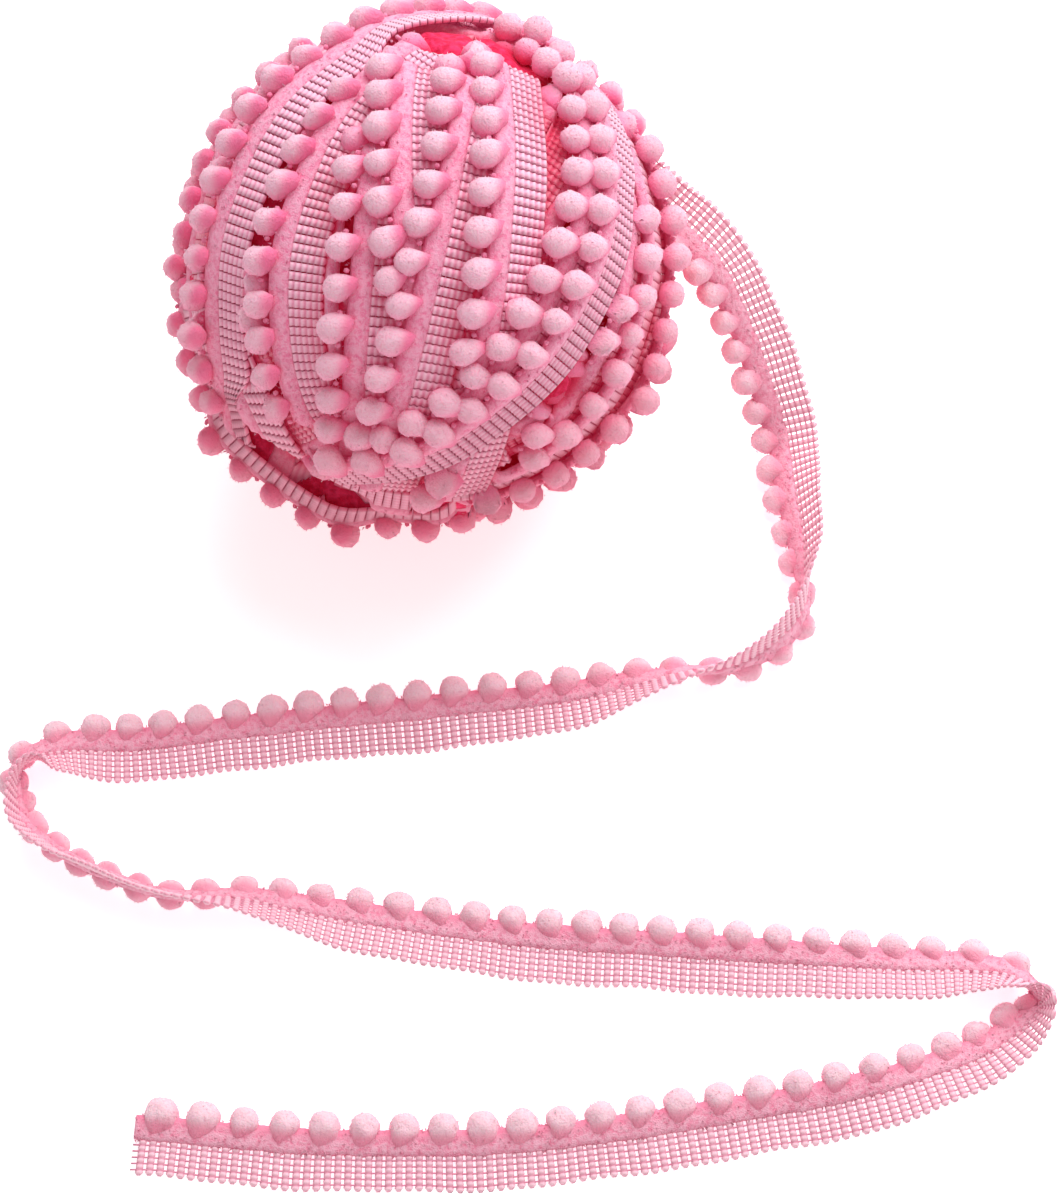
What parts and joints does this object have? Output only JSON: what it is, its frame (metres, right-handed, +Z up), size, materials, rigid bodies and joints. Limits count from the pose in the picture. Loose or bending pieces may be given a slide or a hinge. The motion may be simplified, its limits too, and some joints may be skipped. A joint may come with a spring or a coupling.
{
  "type": "pompom fringe trim",
  "caption": "Mini pompom fringe trim, woven tape edged with round pompoms, wound into a ball with a long loose end lying in a zigzag.",
  "frame": {"origin": "on the floor under the ball's centre, in the middle of the flat spot that the ball rests on", "axes": "+X along the zigzag's long runs, towards its right-hand bend; +Y from the loose end towards the ball; +Z up"},
  "size_m": [0.1968, 0.2125, 0.0984],
  "materials": {
    "wound_trim": "pink trim wound turn over turn, crimson in the gaps",
    "woven_tape": "open woven tape of soft yarn with a slight sheen",
    "pile_and_pompoms": "short tufted pile and velvety pompoms"
  },
  "bodies": {
    "root": {"wound_ball": "wound_trim", "loose_tape": "woven_tape", "loose_heading": "pile_and_pompoms"}
  },
  "joints": []
}
